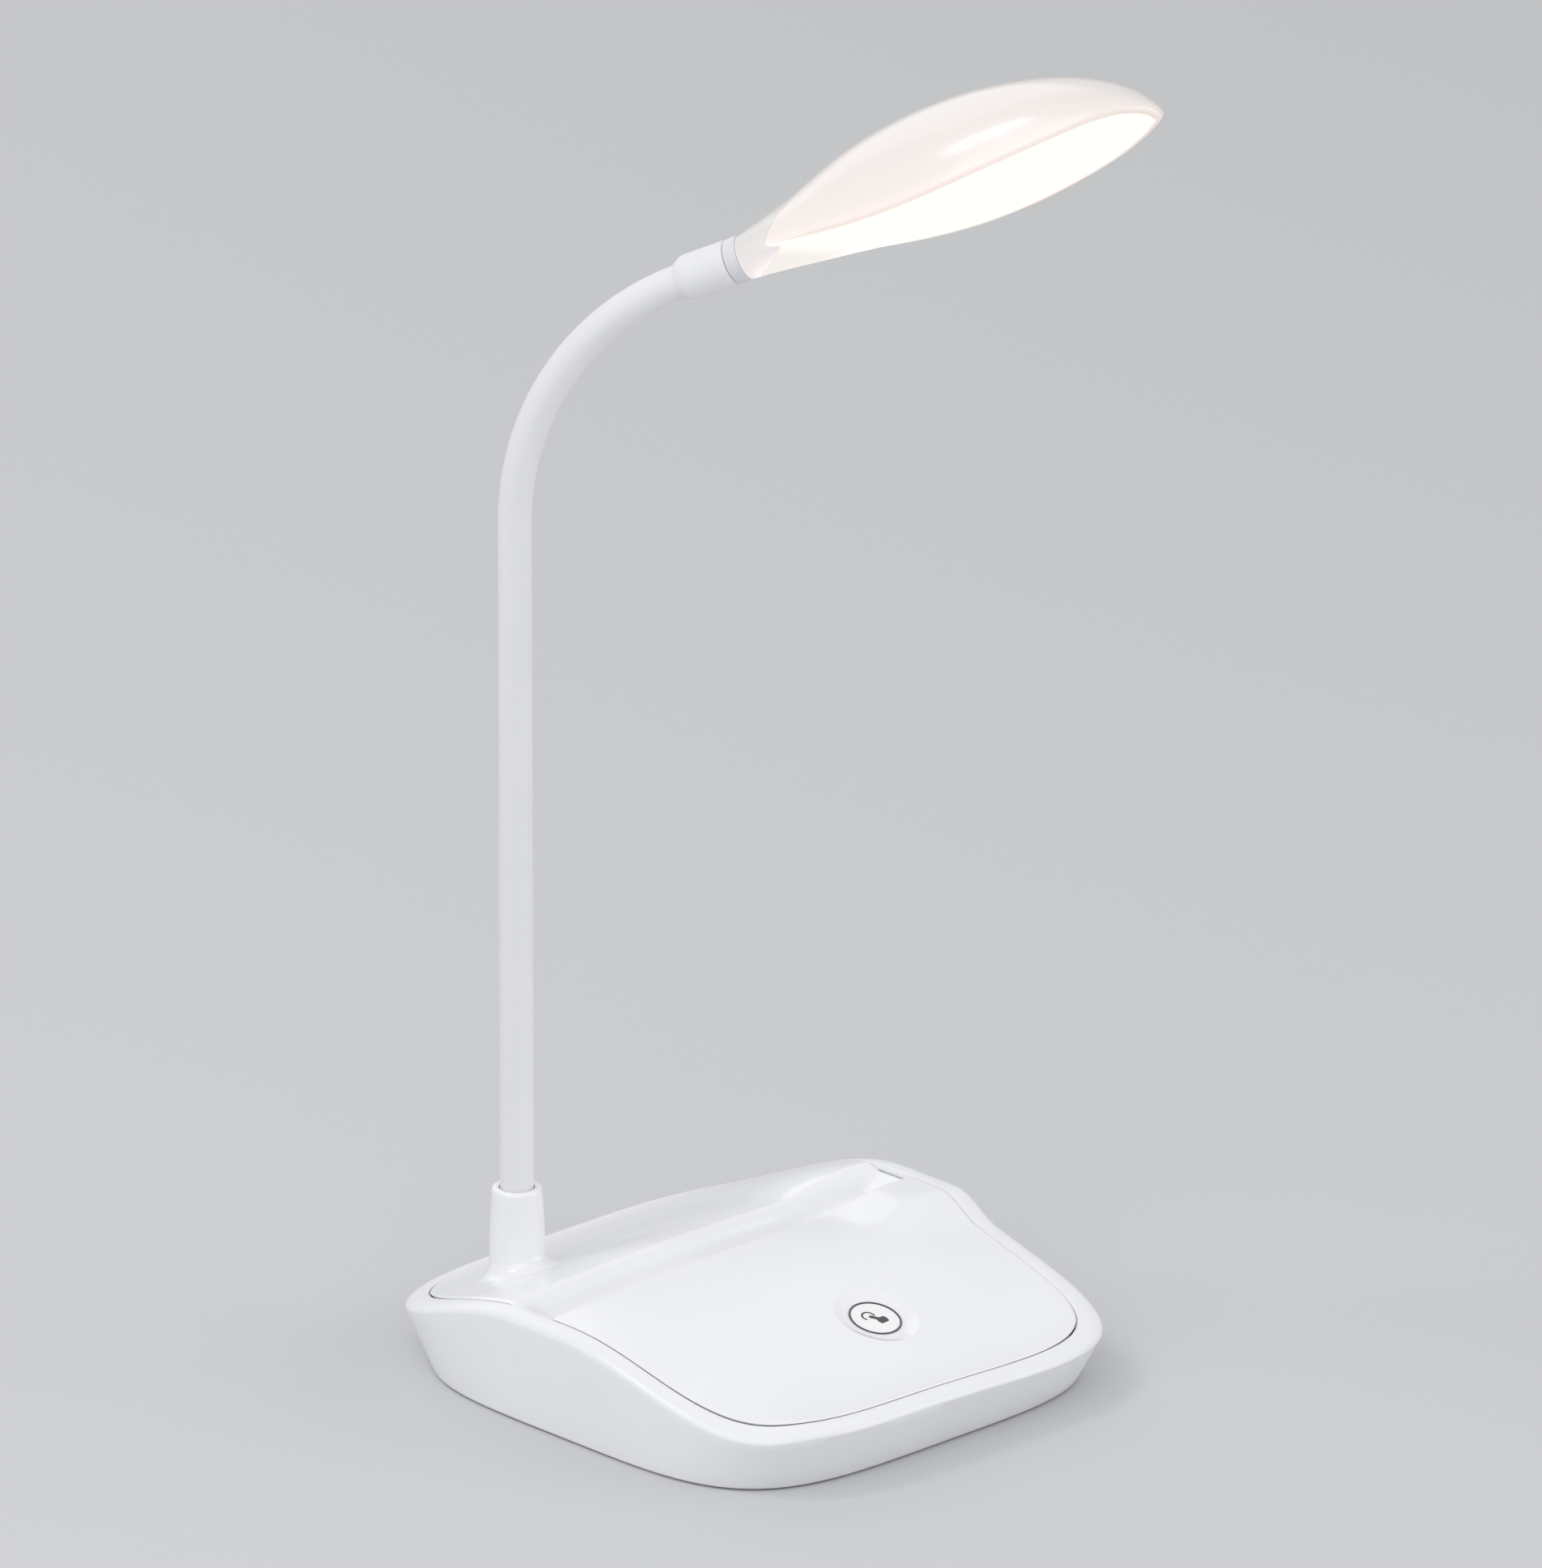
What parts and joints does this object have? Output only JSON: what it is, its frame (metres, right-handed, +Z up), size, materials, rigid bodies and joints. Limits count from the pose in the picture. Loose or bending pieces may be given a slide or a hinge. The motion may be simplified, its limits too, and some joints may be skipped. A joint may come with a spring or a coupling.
{
  "type": "gooseneck desk lamp",
  "caption": "Rechargeable study lamp with a humped base that has a groove to stand a phone in, a touch button, a flexible gooseneck arm and a leaf-shaped LED head.",
  "frame": {"origin": "on the desk surface, below the centre of the whole lamp's bounding box in the stored pose", "axes": "+Z up, -Y to the front of the base, where the touch button is, +X to the user's right"},
  "size_m": [0.1546, 0.198, 0.4026],
  "materials": {
    "satin_white_abs": "moulded ABS, satin",
    "gloss_white_abs": "moulded ABS, high gloss",
    "ballast_steel": "sheared plate, dull",
    "cell_wrap": "shrink-wrapped cell",
    "natural_nylon": "moulded nylon",
    "green_board": "coated circuit board",
    "zinc_steel": "zinc-plated steel",
    "button_white": "moulded ABS, gloss, printed symbol",
    "dark_grey_ring": "printed and moulded ring, satin",
    "grey_rubber": "moulded rubber, matte",
    "clear_light_pipe": "clear polycarbonate",
    "white_silicone": "extruded silicone, matte",
    "pale_grey_abs": "moulded ABS, satin",
    "warm_white_abs": "moulded ABS, semi-gloss",
    "opal_diffuser": "moulded opal acrylic that lets light through",
    "white_board": "white-coated circuit board"
  },
  "bodies": {
    "base": {"base_housing": "satin_white_abs", "deck_panel": "gloss_white_abs", "bottom_plate": "satin_white_abs", "ballast_plate": "ballast_steel", "battery_cell": "cell_wrap", "battery_cradle": "natural_nylon", "control_board": "green_board", "touch_spring": "zinc_steel", "touch_button": "button_white", "button_ring": "dark_grey_ring", "foot_1": "grey_rubber", "foot_2": "grey_rubber", "foot_3": "grey_rubber", "foot_4": "grey_rubber", "base_screw_1": "zinc_steel", "base_screw_2": "zinc_steel", "base_screw_3": "zinc_steel", "base_screw_4": "zinc_steel", "charging_port": "zinc_steel", "port_board": "green_board", "charge_light_pipe": "clear_light_pipe", "arm_stud": "zinc_steel", "arm_washer": "zinc_steel", "arm_nut": "zinc_steel", "arm_sleeve_0": "white_silicone", "arm_core_0": "zinc_steel"},
    "arm_link_1": {"arm_sleeve_1": "white_silicone", "arm_core_1": "zinc_steel"},
    "arm_link_2": {"arm_sleeve_2": "white_silicone", "arm_core_2": "zinc_steel"},
    "arm_link_3": {"arm_sleeve_3": "white_silicone", "arm_core_3": "zinc_steel"},
    "arm_link_4": {"arm_sleeve_4": "white_silicone", "arm_core_4": "zinc_steel"},
    "arm_link_5": {"arm_sleeve_5": "white_silicone", "arm_core_5": "zinc_steel"},
    "arm_link_6": {"arm_sleeve_6": "white_silicone", "arm_core_6": "zinc_steel", "ferrule": "white_silicone", "swivel_ring": "pale_grey_abs", "swivel_clip": "zinc_steel"},
    "head": {"head_neck": "warm_white_abs", "head_shell": "warm_white_abs", "diffuser": "opal_diffuser", "led_board": "white_board", "led_screw_1": "zinc_steel", "led_screw_2": "zinc_steel"}
  },
  "joints": [
    {"name": "arm_bend_1", "type": "hinge", "parent": "base", "child": "arm_link_1", "pos_m": [-0.042, 0.06492, 0.084], "axis": [0.866, 0.5, 0], "range_deg": [-25, 25]},
    {"name": "arm_bend_2", "type": "hinge", "parent": "arm_link_1", "child": "arm_link_2", "pos_m": [-0.042, 0.06492, 0.129], "axis": [-0.5, 0.866, 0], "range_deg": [-25, 25]},
    {"name": "arm_bend_3", "type": "hinge", "parent": "arm_link_2", "child": "arm_link_3", "pos_m": [-0.042, 0.06492, 0.174], "axis": [0.866, 0.5, 0], "range_deg": [-25, 25]},
    {"name": "arm_bend_4", "type": "hinge", "parent": "arm_link_3", "child": "arm_link_4", "pos_m": [-0.042, 0.06492, 0.219], "axis": [-0.5, 0.866, 0], "range_deg": [-25, 25]},
    {"name": "arm_bend_5", "type": "hinge", "parent": "arm_link_4", "child": "arm_link_5", "pos_m": [-0.04165, 0.06431, 0.26397], "axis": [0.866, 0.5, 0], "range_deg": [-25, 25]},
    {"name": "arm_bend_6", "type": "hinge", "parent": "arm_link_5", "child": "arm_link_6", "pos_m": [-0.03317, 0.04963, 0.3051], "axis": [-0.397, 0.6876, 0.6079], "range_deg": [-25, 25]},
    {"name": "head_swivel", "type": "hinge", "parent": "arm_link_6", "child": "head", "pos_m": [-0.0176, 0.02265, 0.33035], "axis": [0.4513, -0.7817, 0.4305], "range_deg": [-63, 117]}
  ]
}
